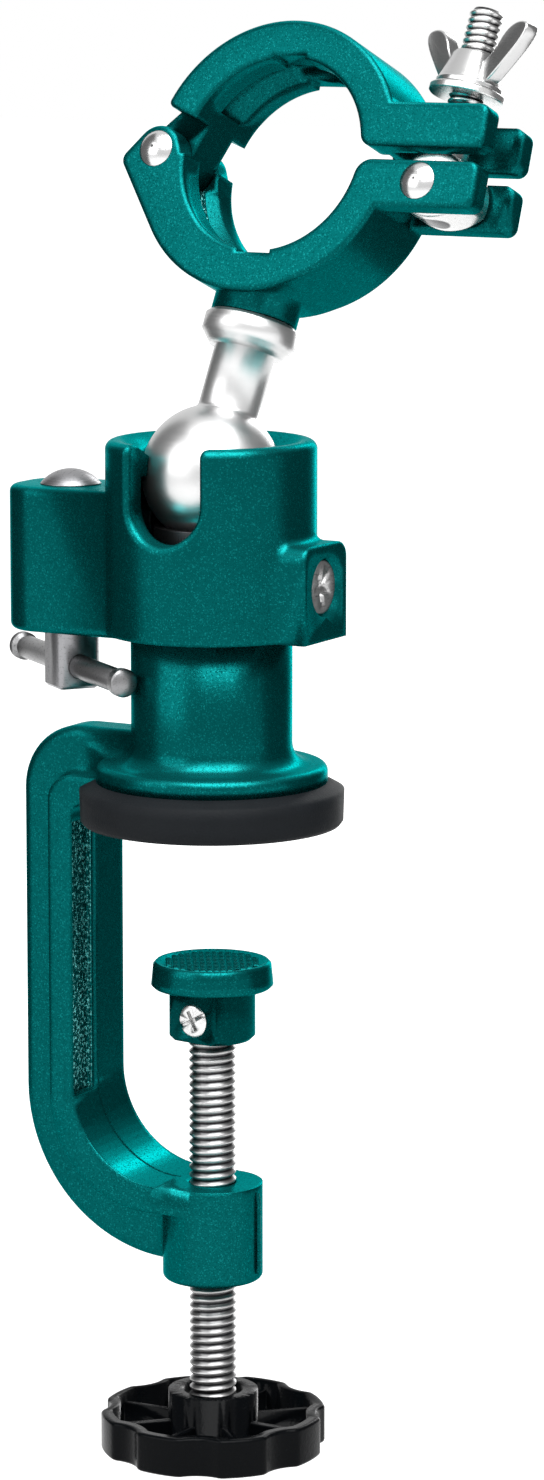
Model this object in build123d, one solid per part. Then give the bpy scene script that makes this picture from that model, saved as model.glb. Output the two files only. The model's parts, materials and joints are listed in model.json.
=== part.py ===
from build123d import *
import math
import os

# Mini bench vise: a clamp frame with a column, a swivelling ball socket and a hinged ring for a drill collar.
# The origin is the centre of the bench pad's underside. Z runs up the column, the frame's bar stands on
# the -X side and the socket's notch faces -Y. Sizes are in millimetres, angles in degrees.

# Clamp frame: a T section of an inner plate and an outer rib
ARM_WIDTH = 22.4
RIB_WIDTH = 11.0
THROAT = 29.2
PLATE = 6.0
RIB = 9.8
ARM_UNDERSIDE = 3.3
ARM_RIB_TOP = 19.2
LOWER_ARM_TOP = -80.2
LOWER_RIB_BOTTOM = -98.0
INNER_TOP_BEND = 3.0
INNER_LOW_BEND = 21.0
STEP_TOP_BEND = 6.0
STEP_LOW_BEND = 24.0
OUTER_TOP_BEND = 14.5
OUTER_LOW_BEND = 36.0
PLATE_EDGE_ROUND = 0.9
RIB_EDGE_ROUND = 2.4
VALLEY_ROUND = 1.4
POCKET_DEPTH = 2.2
POCKET_LAND = 0.8
POCKET_TOP = -1.0
POCKET_BOTTOM = -62.5

# Screw boss at the end of the lower arm
BOSS_RADIUS = 11.0
BOSS_BOTTOM = -101.7
BOSS_EDGE_ROUND = 1.2

# Column and its flange
FLANGE_RADIUS = 25.1
FLANGE_UNDERSIDE = 9.2
FLANGE_THICKNESS = 3.9
FLANGE_EDGE_ROUND = 1.7
COLUMN_RADIUS = 17.45
COLUMN_TOP = 58.5
COLUMN_ROOT_ROUND = 4.5
GROOVE_DEPTH = 2.2
GROOVE_WIDTH = 6.2

# Bench pad
PAD_RADIUS = 28.7
PAD_SIDE = 7.3
PAD_CLEARANCE = 0.25
PAD_LIP = 0.2
PAD_NOTCH_X = -25.6
PAD_EDGE_ROUND = 0.8

# Clamp screw
THREAD_CREST = 5.15
THREAD_DEPTH = 0.75
THREAD_PITCH = 1.85
THREAD_RUNOUT = 0.5
SCREW_CLEARANCE = 0.08
SPIGOT_RADIUS = 3.9
SPIGOT_NECK = 2.9
SPIGOT_GROOVE = 4.0
SPIGOT_TOP = -37.6
SPIGOT_END_GAP = 0.3
SPIGOT_CHAMFER = 0.6
HEX_ACROSS = 15.0
HEX_HEIGHT = 5.0
HEX_INSET = 0.6

# Pressure pad
PRESS_TOP = -30.7
PRESS_RADIUS = 13.35
PRESS_THICKNESS = 5.7
PRESS_DRAFT = 0.45
PRESS_EDGE = 0.6
PRESS_RIM = 1.7
PRESS_RECESS = 0.5
HUB_RADIUS = 9.4
HUB_BOTTOM = -47.9
HUB_FLAT = 7.0
HUB_EDGE = 0.9
PAD_SCREW_ANGLE = -98.0
PAD_SCREW_Z = -42.9
PAD_SCREW_HEAD = 3.7
PAD_SCREW_HEAD_DEPTH = 2.2
PAD_SCREW_PROUD = 0.4
PAD_SCREW_EDGE = 0.45
PAD_SCREW_SHANK = 1.9
PAD_SCREW_TIP_GAP = 0.2
PAD_SCREW_SLOT = 0.9
PAD_SCREW_SLOT_DEPTH = 0.9
PAD_SCREW_CROSS = 4.6
PAD_SCREW_CROSS_DEPTH = 1.2
PAD_SCREW_TURN = 28.0

# Knob
KNOB_RADIUS = 24.8
KNOB_BOTTOM = -140.3
KNOB_RIM_HEIGHT = 8.7
KNOB_WALL = 2.4
KNOB_FLOOR = 2.4
KNOB_LOBES = 8
KNOB_SCALLOP_RADIUS = 8.0
KNOB_SCALLOP_DEPTH = 1.7
KNOB_TIP_ROUND = 2.5
KNOB_INNER_ROUND = 1.5
KNOB_HUB_RADIUS = 9.9
KNOB_HUB_HEIGHT = 13.0
KNOB_HUB_RECESS = 6.6
KNOB_RECESS_DEPTH = 1.6
KNOB_RIB = 1.8
KNOB_RIB_DROP = 2.0
KNOB_ROUND = 0.8

# Ball and socket head
BALL_RADIUS = 15.0
BALL_Z = 75.7
HEAD_RADIUS = 22.75
HEAD_BOTTOM = 41.6
HEAD_TOP = 83.2
HEAD_TOP_ROUND = 2.0
HEAD_CLEARANCE = 0.05
LIP_CLEARANCE = 0.2
LIP_START = 0.5
LIP_END = 4.5
MOUTH_RADIUS = 19.6
NOTCH_WIDTH = 17.0
NOTCH_FLOOR = 62.4
NOTCH_EDGE_ROUND = 1.1

# Lug that carries the locking cam, and boss of the swivel screw
LUG_END = -48.0
LUG_WIDTH = 22.0
LUG_BOTTOM = 40.0
LUG_TOP = 71.7
LUG_CORNER = 9.0
LUG_EDGE_ROUND = 1.6
SWIVEL_BOSS_FACE = 28.0
SWIVEL_BOSS_WIDTH = 19.2
SWIVEL_BOSS_TOP = 62.3
SWIVEL_BOSS_ROOT = 2.2
SWIVEL_BOSS_CORNER = 3.5
SWIVEL_BOSS_EDGE = 0.7
SWIVEL_SCREW_Z = 53.1
SWIVEL_SCREW_RADIUS = 5.9
SWIVEL_RECESS_RADIUS = 6.4
SWIVEL_RECESS_DEPTH = 1.2
SWIVEL_SCREW_PROUD = 0.3
SWIVEL_SCREW_CHAMFER = 0.5
SWIVEL_SCREW_LENGTH = 9.0
SWIVEL_TIP_RADIUS = 2.9
SWIVEL_SOCKET = 6.0
SWIVEL_SOCKET_DEPTH = 3.6
TIP_CLEARANCE = 0.3

# Ball seat in the top of the column
SEAT_RADIUS = 12.4
SEAT_TOP = 64.6
SEAT_SPIGOT = 8.0
SEAT_SPIGOT_DEPTH = 9.0
SEAT_BORE_GAP = 0.5
SEAT_CLEARANCE = 0.05

# Locking cam, plunger and tommy bar
CAM_X = -35.2
CAM_RADIUS = 6.2
CAM_CLEARANCE = 0.05
CAM_THROW = 0.8
CAM_LOBE_RELIEF = 0.15
CAM_LOBE_LOW = 60.5
CAM_LOBE_HIGH = 70.5
CAM_SHOULDER_GAP = 0.4
CAM_DOME_GAP = 0.1
CAM_DOME_RADIUS = 6.65
CAM_DOME_HEIGHT = 3.2
CAM_SQUARE = 9.6
CAM_SQUARE_CHAMFER = 0.7
CAM_BOTTOM = 27.0
PLUNGER_Z = 65.5
PLUNGER_RADIUS = 4.0
PLUNGER_NOSE = -12.9
PLUNGER_GAP = 0.25
TOMMY_RADIUS = 2.6
TOMMY_LENGTH = 61.0
TOMMY_Z = 32.0
TOMMY_ANGLE = -37.0
TOMMY_CLEARANCE = 0.08
TOMMY_END_RADIUS = 3.1
TOMMY_END_LENGTH = 2.6
TOMMY_END_CHAMFER = 0.5
TOMMY_GROOVE = 0.35
TOMMY_GROOVE_WIDTH = 1.0

# Ball stud. At rest it leans back and a little to the +X side.
STUD_LEAN = (0.1051, 0.3484, 0.9314)
NECK_RADIUS = 6.65
NECK_ROOT_ROUND = 1.5
COLLAR_UNDERSIDE = 27.4
COLLAR_CHAMFER = 2.9
COLLAR_CHAMFER_DEPTH = 2.4
COLLAR_RADIUS = 10.3
COLLAR_TOP = 34.6
COLLAR_EDGE = 0.9
STUD_SPIGOT_RADIUS = 6.0
STUD_SPIGOT_END = 42.5
STUD_TO_RING = 68.8

# Ring of two jaws. Its own frame has x along the ears, y up and z towards the notch side.
RING_SPIN = 1.7
RING_TILT = 5.5
BORE_RADIUS = 21.5
JAW_RADIUS = 29.8
JAW_WIDTH = 22.6
JAW_EDGE_ROUND = 1.0
RIM_WIDTH = 7.2
RIM_DEPTH = 3.6
RELIEF_WIDTH = 8.0
RELIEF_DEPTH = 0.45
HINGE_X = -28.7
HINGE_Y = 0.15
LUG_ROUND = 5.4
LUG_TIP_REACH = 8.9
LUG_TIP_DROP = 2.3
LUG_TIP_ROUND = 2.4
LUG_NECK_REACH = 9.2
LUG_NECK_DROP = 7.6
LUG_SWELL_RADIUS = 30.2
LUG_SWELL_SHIFT = 2.0
LUG_SWELL_ANGLE = 190.0
TONGUE_WIDTH = 10.4
TONGUE_GAP = 0.3
TONGUE_SWING_GAP = 0.9
TONGUE_BULGE = 32.3
TONGUE_BULGE_ANGLE = 168.0
TONGUE_ROOT_ANGLE = 150.0
UPPER_START_ANGLE = 160.0
UPPER_START_ROUND = 1.2
UPPER_BORE_CORNER = 2.8
LOWER_BORE_CORNER = 4.0
EAR_END = 50.8
UPPER_EAR_LOW = 2.4
UPPER_EAR_HIGH = 12.2
LOWER_EAR_LOW = -10.7
LOWER_EAR_HIGH = -0.5
EAR_SLOT = 12.0
EAR_SLOT_END = 27.6
EAR_CORNER = 2.2
JAW_BOSS_RADIUS = 9.45
JAW_BOSS_GAP = 0.3
JAW_BOSS_WALL = 0.6

# Rivets, eye bolt and wing nut
RIVET_SHANK = 2.5
RIVET_HEAD = 4.1
RIVET_DOME = 1.7
PIN_CLEARANCE = 0.06
EYE_X = 37.0
EYE_Y = -5.2
EYE_RADIUS = 8.9
EYE_THICKNESS = 11.2
EYE_EDGE_ROUND = 1.0
EYE_UNDERSIDE = 6.0
EYE_UNDERSIDE_RADIUS = 12.0
BOLT_LEAN = 4.3
BOLT_CREST = 3.7
BOLT_SHANK = 3.6
BOLT_THREAD_DEPTH = 0.55
BOLT_PITCH = 1.5
BOLT_LENGTH = 41.4
BOLT_PLAIN = 12.0
BOLT_END_CHAMFER = 0.6
WASHER_SEAT = 21.9
WASHER_RADIUS = 8.2
WASHER_THICKNESS = 1.6
WASHER_EDGE = 0.25
NUT_GAP = 0.05
NUT_BASE_RADIUS = 7.3
NUT_TOP_RADIUS = 5.0
NUT_HEIGHT = 8.0
NUT_FLANGE = 1.6
NUT_EDGE = 0.4
WING_ROOT = 4.3
WING_FOOT = 6.6
WING_FOOT_HEIGHT = 0.8
WING_SPAN = 17.6
WING_TIP_LOW = 11.4
WING_TIP_HIGH = 13.2
WING_SHOULDER = 8.8
WING_HEIGHT = 14.2
WING_CORNER = 1.2
WING_THICKNESS = 3.6
WING_EDGE_ROUND = 0.9
WING_ANGLE = -22.0

# How far a cut or a joined block runs past a face, and how close an edge must lie to count as being there
OVER = 1.0
NEAR = 0.01


def export(name, shape):
    export_step(shape, "parts/" + name + ".step")


def revolved(points):
    # A solid of revolution about Z from a closed outline of (radius, height) points
    outline = make_face(Polyline(*points, close=True))
    return revolve(Plane.XZ * outline, Axis.Z)


def upright(radius, low, high, x=0.0):
    return Pos(x, 0, low) * Cylinder(radius, high - low, align=(Align.CENTER, Align.CENTER, Align.MIN))


def along_x(radius, start, end, z):
    bar = Cylinder(radius, end - start, align=(Align.CENTER, Align.CENTER, Align.MIN))
    return Pos(start, 0, z) * Rot(0, 90, 0) * bar


def standing_box(length, width, height):
    return Box(length, width, height, align=(Align.CENTER, Align.CENTER, Align.MIN))


def dome(radius, height):
    # A spherical cap that stands on the XY plane
    ball = (radius ** 2 + height ** 2) / (2 * height)
    cap = Pos(0, 0, height - ball) * Sphere(ball)
    return cap & Cylinder(radius + OVER, height * 2, align=(Align.CENTER, Align.CENTER, Align.MIN))


def level_edges(shape, height):
    return shape.edges().filter_by_position(Axis.Z, height - NEAR, height + NEAR)


def face_edges(shape, half):
    # The edges of a slab's two faces, which lie at half its thickness either side of the middle
    return [edge for edge in shape.edges() if abs(abs(edge.center().Z) - half) < NEAR]


def polar(radius, angle):
    turned = math.radians(angle)
    return (radius * math.cos(turned), radius * math.sin(turned))


def tangent_point(x, y, radius, side=1):
    # Where a line from (x, y) touches a circle about the origin, on one side of it or, at -1, the other
    turned = math.degrees(math.atan2(y, x) + side * math.acos(radius / math.hypot(x, y)))
    return polar(radius, turned)


def thread_outline(crest, depth, pitch, low, high):
    # The flanks of a screw thread's rings, from the low end up
    points = []
    turns = int((high - low) / pitch)
    for turn in range(turns):
        base = low + turn * pitch
        points.append((crest - depth, base))
        points.append((crest, base + pitch * 0.42))
        points.append((crest, base + pitch * 0.58))
    points.append((crest - depth, low + turns * pitch))
    return points


def frame_area(x, top, top_bend, bottom, bottom_bend):
    # The region between the column axis and one line of the C, drawn in the XZ plane
    edge = FilletPolyline((0, top), (x, top), (x, bottom), (0, bottom), radius=[top_bend, bottom_bend])
    return make_face(edge + Line((0, bottom), (0, top)))


def frame_slab(area, width, edge_round):
    # A slab across the frame, with both rims of its outer line rounded
    slab = extrude(Plane.XZ * area, width / 2, both=True)
    rims = []
    for edge in slab.edges():
        middle = edge.center()
        if abs(abs(middle.Y) - width / 2) < NEAR and middle.X < -NEAR:
            rims.append(edge)
    return fillet(rims, edge_round)


def frame_valleys(body, line):
    # The edges where the rib's sides meet the plate's outer face
    valleys = []
    for edge in body.edges():
        middle = edge.center()
        beside_rib = abs(abs(middle.Y) - RIB_WIDTH / 2) < NEAR
        if beside_rib and middle.X < -NEAR and line.distance_to(Vector(middle.X, 0, middle.Z)) < NEAR:
            valleys.append(edge)
    return valleys


def column_and_flange():
    flange_top = FLANGE_UNDERSIDE + FLANGE_THICKNESS
    flange = upright(FLANGE_RADIUS, FLANGE_UNDERSIDE, flange_top)
    flange = fillet(level_edges(flange, flange_top), FLANGE_EDGE_ROUND)
    column = flange + upright(COLUMN_RADIUS, FLANGE_UNDERSIDE, COLUMN_TOP)
    root = level_edges(column, flange_top).sort_by(SortBy.LENGTH)[0]
    return fillet(root, COLUMN_ROOT_ROUND)


def frame_pocket():
    # The rough-cast pocket in the bar's inner face, on the front side of the parting line
    width = ARM_WIDTH / 2 - 2 * POCKET_LAND
    middle = -POCKET_LAND - width / 2
    depth = 2 * POCKET_DEPTH
    return Pos(-THROAT, middle, POCKET_BOTTOM) * standing_box(depth, width, POCKET_TOP - POCKET_BOTTOM)


def clamp_frame():
    inner = frame_area(-THROAT, ARM_UNDERSIDE, INNER_TOP_BEND, LOWER_ARM_TOP, INNER_LOW_BEND)
    step = frame_area(
        -THROAT - PLATE, ARM_UNDERSIDE + PLATE, STEP_TOP_BEND, LOWER_ARM_TOP - PLATE, STEP_LOW_BEND)
    outer = frame_area(-THROAT - PLATE - RIB, ARM_RIB_TOP, OUTER_TOP_BEND, LOWER_RIB_BOTTOM, OUTER_LOW_BEND)
    body = frame_slab(step, ARM_WIDTH, PLATE_EDGE_ROUND) + frame_slab(outer, RIB_WIDTH, RIB_EDGE_ROUND)
    step_line = (Plane.XZ * step).face().outer_wire()
    body = fillet(frame_valleys(body, step_line), VALLEY_ROUND)
    body -= extrude(Plane.XZ * inner, ARM_WIDTH, both=True)
    body += upright(ARM_WIDTH / 2, ARM_UNDERSIDE, FLANGE_UNDERSIDE + OVER)
    body += column_and_flange()
    boss = upright(BOSS_RADIUS, BOSS_BOTTOM, LOWER_ARM_TOP)
    body += fillet(level_edges(boss, BOSS_BOTTOM), BOSS_EDGE_ROUND)
    groove_low = SWIVEL_SCREW_Z - GROOVE_WIDTH / 2
    groove_high = SWIVEL_SCREW_Z + GROOVE_WIDTH / 2
    groove = upright(COLUMN_RADIUS + OVER, groove_low, groove_high)
    body -= groove - upright(COLUMN_RADIUS - GROOVE_DEPTH, groove_low - OVER, groove_high + OVER)
    body -= upright(SEAT_SPIGOT, COLUMN_TOP - SEAT_SPIGOT_DEPTH - SEAT_BORE_GAP, COLUMN_TOP + OVER)
    body -= upright(THREAD_CREST + SCREW_CLEARANCE, BOSS_BOTTOM - OVER, LOWER_ARM_TOP + OVER)
    return body - frame_pocket()


def bench_pad():
    body = revolved([
        (0, 0),
        (PAD_RADIUS - PAD_EDGE_ROUND, 0),
        (PAD_RADIUS - PAD_LIP, PAD_EDGE_ROUND),
        (PAD_RADIUS, PAD_SIDE),
        (FLANGE_RADIUS + PAD_LIP, FLANGE_UNDERSIDE),
        (0, FLANGE_UNDERSIDE),
    ])
    half = ARM_WIDTH / 2 + PAD_CLEARANCE
    low = ARM_UNDERSIDE - PAD_CLEARANCE
    body -= upright(half, low, FLANGE_UNDERSIDE + OVER)
    body -= Pos(-PAD_RADIUS, 0, low) * standing_box(2 * PAD_RADIUS, 2 * half, FLANGE_UNDERSIDE)
    notch = Box(PAD_RADIUS, 2 * half, 4 * PAD_SIDE, align=(Align.MAX, Align.CENTER, Align.CENTER))
    return body - Pos(PAD_NOTCH_X, 0, 0) * notch


def clamp_screw():
    plain_top = KNOB_BOTTOM + KNOB_HUB_HEIGHT - OVER
    hex_top = KNOB_BOTTOM + HEX_HEIGHT
    shoulder = HUB_BOTTOM - SPIGOT_END_GAP
    groove_low = PAD_SCREW_Z - SPIGOT_GROOVE / 2
    groove_high = PAD_SCREW_Z + SPIGOT_GROOVE / 2
    points = [(0, hex_top), (THREAD_CREST, hex_top), (THREAD_CREST, plain_top)]
    points += thread_outline(THREAD_CREST, THREAD_DEPTH, THREAD_PITCH, plain_top + THREAD_RUNOUT, shoulder)
    points += [
        (SPIGOT_RADIUS, shoulder),
        (SPIGOT_RADIUS, groove_low),
        (SPIGOT_NECK, groove_low),
        (SPIGOT_NECK, groove_high),
        (SPIGOT_RADIUS, groove_high),
        (SPIGOT_RADIUS - SPIGOT_CHAMFER, SPIGOT_TOP),
        (0, SPIGOT_TOP),
    ]
    head = extrude(RegularPolygon(HEX_ACROSS / 2, 6, major_radius=False), HEX_HEIGHT)
    return revolved(points) + Pos(0, 0, KNOB_BOTTOM + HEX_INSET) * head


def pad_screw_place():
    # The screw's way into the hub, with Z pointing outwards
    return Rot(0, 0, PAD_SCREW_ANGLE) * Pos(0, 0, PAD_SCREW_Z) * Rot(0, 90, 0)


def pressure_pad():
    low = PRESS_TOP - PRESS_THICKNESS
    rim = PRESS_RADIUS - PRESS_DRAFT
    body = revolved([
        (0, low),
        (PRESS_RADIUS - PRESS_EDGE, low),
        (PRESS_RADIUS, low + PRESS_EDGE),
        (rim, PRESS_TOP - PRESS_EDGE),
        (rim - PRESS_EDGE, PRESS_TOP),
        (PRESS_RADIUS - PRESS_RIM, PRESS_TOP),
        (PRESS_RADIUS - PRESS_RIM - PRESS_RECESS, PRESS_TOP - PRESS_RECESS),
        (0, PRESS_TOP - PRESS_RECESS),
    ])
    hub = revolved([
        (0, HUB_BOTTOM),
        (HUB_RADIUS - HUB_EDGE, HUB_BOTTOM),
        (HUB_RADIUS, HUB_BOTTOM + HUB_EDGE),
        (HUB_RADIUS, low + OVER),
        (0, low + OVER),
    ])
    flat = standing_box(2 * HUB_RADIUS, 4 * HUB_RADIUS, low - HUB_BOTTOM + OVER)
    hub -= Rot(0, 0, PAD_SCREW_ANGLE) * Pos(HUB_FLAT + HUB_RADIUS, 0, HUB_BOTTOM - OVER) * flat
    body += hub
    body -= upright(SPIGOT_RADIUS + SCREW_CLEARANCE, HUB_BOTTOM - OVER, SPIGOT_TOP + SPIGOT_END_GAP)
    way = pad_screw_place()
    body -= way * upright(PAD_SCREW_SHANK, 0, HUB_RADIUS)
    return body - way * upright(PAD_SCREW_HEAD, HUB_FLAT - PAD_SCREW_HEAD_DEPTH, 2 * HUB_RADIUS)


def pad_screw():
    head_low = HUB_FLAT - PAD_SCREW_HEAD_DEPTH
    head_high = HUB_FLAT + PAD_SCREW_PROUD
    tip = SPIGOT_NECK + PAD_SCREW_TIP_GAP
    body = revolved([
        (0, tip),
        (PAD_SCREW_SHANK, tip),
        (PAD_SCREW_SHANK, head_low),
        (PAD_SCREW_HEAD, head_low),
        (PAD_SCREW_HEAD, head_high - PAD_SCREW_EDGE),
        (PAD_SCREW_HEAD - PAD_SCREW_EDGE, head_high),
        (0, head_high),
    ])
    slot = Box(PAD_SCREW_SLOT, 4 * PAD_SCREW_HEAD, 2 * PAD_SCREW_SLOT_DEPTH)
    cross = Box(PAD_SCREW_CROSS, PAD_SCREW_SLOT, 2 * PAD_SCREW_CROSS_DEPTH)
    body -= Pos(0, 0, head_high) * Rot(0, 0, PAD_SCREW_TURN) * (slot + cross)
    return pad_screw_place() * body


def knob_plan(radius, scallop):
    # A disc with a scallop between each two lobes
    reach = KNOB_RADIUS + KNOB_SCALLOP_RADIUS - KNOB_SCALLOP_DEPTH
    places = PolarLocations(reach, KNOB_LOBES, start_angle=180 / KNOB_LOBES)
    return Circle(radius) - [place * Circle(scallop) for place in places]


def knob():
    profile = knob_plan(KNOB_RADIUS, KNOB_SCALLOP_RADIUS)
    profile = fillet(profile.vertices(), KNOB_TIP_ROUND)
    cavity = knob_plan(KNOB_RADIUS - KNOB_WALL, KNOB_SCALLOP_RADIUS + KNOB_WALL)
    cavity = fillet(cavity.vertices(), KNOB_INNER_ROUND)
    body = extrude(profile, KNOB_RIM_HEIGHT)
    body = fillet(level_edges(body, KNOB_RIM_HEIGHT), KNOB_ROUND)
    body = fillet(level_edges(body, 0), KNOB_ROUND)
    body -= Pos(0, 0, KNOB_FLOOR) * extrude(cavity, KNOB_RIM_HEIGHT)
    rib_top = KNOB_RIM_HEIGHT - KNOB_RIB_DROP
    rib = upright(KNOB_RADIUS - KNOB_WALL / 2, KNOB_FLOOR / 2, rib_top)
    rib &= Box(KNOB_RADIUS, KNOB_RIB, 4 * KNOB_RIM_HEIGHT, align=(Align.MIN, Align.CENTER, Align.CENTER))
    for index in range(KNOB_LOBES):
        body += Rot(0, 0, index * 360 / KNOB_LOBES) * rib
    body += upright(KNOB_HUB_RADIUS, KNOB_FLOOR / 2, KNOB_HUB_HEIGHT)
    body -= upright(KNOB_HUB_RECESS, KNOB_HUB_HEIGHT - KNOB_RECESS_DEPTH, KNOB_HUB_HEIGHT + OVER)
    body -= upright(THREAD_CREST, -OVER, KNOB_HUB_HEIGHT + OVER)
    body -= extrude(RegularPolygon(HEX_ACROSS / 2, 6, major_radius=False), HEX_INSET + HEX_HEIGHT)
    return Pos(0, 0, KNOB_BOTTOM) * body


def head_lug():
    plan = Rectangle(-LUG_END, LUG_WIDTH, align=(Align.MAX, Align.CENTER))
    plan = fillet(plan.vertices().sort_by(Axis.X)[0:2], LUG_CORNER)
    lug = Pos(0, 0, LUG_BOTTOM) * extrude(plan, LUG_TOP - LUG_BOTTOM)
    rims = level_edges(lug, LUG_TOP) + level_edges(lug, LUG_BOTTOM)
    return fillet([edge for edge in rims if edge.center().X < -NEAR], LUG_EDGE_ROUND)


def head_with_boss():
    # The socket's outside with the swivel screw's boss, blended into it
    body = Rot(0, 0, 180) * upright(HEAD_RADIUS, HEAD_BOTTOM, HEAD_TOP)
    plan = Rectangle(SWIVEL_BOSS_WIDTH, SWIVEL_BOSS_TOP - HEAD_BOTTOM, align=(Align.CENTER, Align.MIN))
    plan = fillet(plan.vertices().sort_by(Axis.Y)[2:4], SWIVEL_BOSS_CORNER)
    boss = extrude(Plane.YZ * Pos(0, HEAD_BOTTOM) * plan, SWIVEL_BOSS_FACE)
    face = boss.edges().filter_by_position(Axis.X, SWIVEL_BOSS_FACE - NEAR, SWIVEL_BOSS_FACE + NEAR)
    sides = [edge for edge in face if edge.center().Z > HEAD_BOTTOM + NEAR]
    body += fillet(sides, SWIVEL_BOSS_EDGE)
    root = []
    for edge in body.edges():
        middle = edge.center()
        if on_socket(middle) and middle.X > 0 and HEAD_BOTTOM + NEAR < middle.Z < HEAD_TOP - NEAR:
            root.append(edge)
    body = fillet(root, SWIVEL_BOSS_ROOT)
    return fillet(level_edges(body, HEAD_TOP), HEAD_TOP_ROUND)


def head_hollow():
    # The chamber for the column, the ball's spherical lip and the open mouth, as one turned cut
    lip = BALL_RADIUS + LIP_CLEARANCE
    heights = (LIP_START, (LIP_START + LIP_END) / 2, LIP_END)
    lip_points = [(math.sqrt(lip ** 2 - height ** 2), BALL_Z + height) for height in heights]
    chamber = COLUMN_RADIUS + HEAD_CLEARANCE
    foot = LUG_BOTTOM - OVER
    crown = HEAD_TOP + OVER
    lower = Polyline((0, foot), (chamber, foot), (chamber, BALL_Z + LIP_START), lip_points[0])
    upper = Polyline(lip_points[2], (MOUTH_RADIUS, HEAD_TOP), (MOUTH_RADIUS, crown), (0, crown), (0, foot))
    return revolve(Plane.XZ * make_face(lower + ThreePointArc(*lip_points) + upper), Axis.Z)


def head_notch():
    height = NOTCH_FLOOR + NOTCH_WIDTH / 2
    slot = Box(NOTCH_WIDTH, 2 * HEAD_RADIUS, HEAD_TOP, align=(Align.CENTER, Align.MAX, Align.MIN))
    end = Cylinder(NOTCH_WIDTH / 2, 2 * HEAD_RADIUS, align=(Align.CENTER, Align.CENTER, Align.MIN))
    return Pos(0, 0, height) * (slot + Rot(90, 0, 0) * end)


def on_socket(point):
    return abs(math.hypot(point.X, point.Y) - HEAD_RADIUS) < NEAR


def notch_rim(body):
    # The outer edges of the notch, below the socket's rounded top
    rim = []
    for edge in body.edges():
        middle = edge.center()
        in_notch = abs(middle.X) < NOTCH_WIDTH / 2 + NEAR and middle.Z > NOTCH_FLOOR - NEAR
        if on_socket(middle) and middle.Y < 0 and in_notch:
            rim.append(edge)
    return rim


def socket_head():
    body = head_with_boss() + head_lug()
    body -= head_hollow()
    body -= head_notch()
    body = fillet(notch_rim(body), NOTCH_EDGE_ROUND)
    chamber = COLUMN_RADIUS + HEAD_CLEARANCE
    body -= upright(CAM_RADIUS + CAM_CLEARANCE, LUG_BOTTOM - OVER, LUG_TOP + OVER, CAM_X)
    body -= along_x(PLUNGER_RADIUS + CAM_CLEARANCE, CAM_X, PLUNGER_NOSE, PLUNGER_Z)
    recess = SWIVEL_BOSS_FACE - SWIVEL_RECESS_DEPTH
    body -= along_x(SWIVEL_RECESS_RADIUS, recess, SWIVEL_BOSS_FACE + OVER, SWIVEL_SCREW_Z)
    return body - along_x(SWIVEL_SCREW_RADIUS, chamber - OVER, SWIVEL_BOSS_FACE, SWIVEL_SCREW_Z)


def swivel_screw():
    end = SWIVEL_BOSS_FACE - SWIVEL_RECESS_DEPTH + SWIVEL_SCREW_PROUD
    start = end - SWIVEL_SCREW_LENGTH
    tip = COLUMN_RADIUS - GROOVE_DEPTH + TIP_CLEARANCE
    body = along_x(SWIVEL_SCREW_RADIUS, start, end, SWIVEL_SCREW_Z)
    body = chamfer(body.edges().filter_by_position(Axis.X, end - NEAR, end + NEAR), SWIVEL_SCREW_CHAMFER)
    body += along_x(SWIVEL_TIP_RADIUS, tip, start + OVER, SWIVEL_SCREW_Z)
    socket = extrude(RegularPolygon(SWIVEL_SOCKET / 2, 6, major_radius=False), SWIVEL_SOCKET_DEPTH)
    return body - Pos(end - SWIVEL_SOCKET_DEPTH, 0, SWIVEL_SCREW_Z) * Rot(0, 90, 0) * socket


def ball_clearance():
    return Pos(0, 0, BALL_Z) * Sphere(BALL_RADIUS + SEAT_CLEARANCE)


def ball_seat():
    body = upright(SEAT_RADIUS, COLUMN_TOP, SEAT_TOP)
    body += upright(SEAT_SPIGOT, COLUMN_TOP - SEAT_SPIGOT_DEPTH, COLUMN_TOP + OVER)
    return body - ball_clearance()


def lock_cam():
    body = upright(CAM_RADIUS, LUG_BOTTOM - CAM_SHOULDER_GAP, CAM_LOBE_LOW)
    lobe = CAM_RADIUS - CAM_THROW - CAM_LOBE_RELIEF
    body += upright(lobe, CAM_LOBE_LOW - OVER, CAM_LOBE_HIGH + OVER, CAM_THROW)
    body += upright(CAM_RADIUS, CAM_LOBE_HIGH, LUG_TOP + CAM_DOME_GAP)
    body += Pos(0, 0, LUG_TOP + CAM_DOME_GAP) * dome(CAM_DOME_RADIUS, CAM_DOME_HEIGHT)
    drop = LUG_BOTTOM - CAM_BOTTOM
    square = standing_box(CAM_SQUARE, CAM_SQUARE, drop) & Cylinder(CAM_RADIUS, 3 * drop)
    square = chamfer(level_edges(square, 0), CAM_SQUARE_CHAMFER)
    hole = Rot(0, 90, 0) * Cylinder(TOMMY_RADIUS + TOMMY_CLEARANCE, 4 * CAM_RADIUS)
    square -= Pos(0, 0, TOMMY_Z - CAM_BOTTOM) * hole
    body += Pos(0, 0, CAM_BOTTOM) * Rot(0, 0, TOMMY_ANGLE) * square
    return Pos(CAM_X, 0, 0) * body


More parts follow.
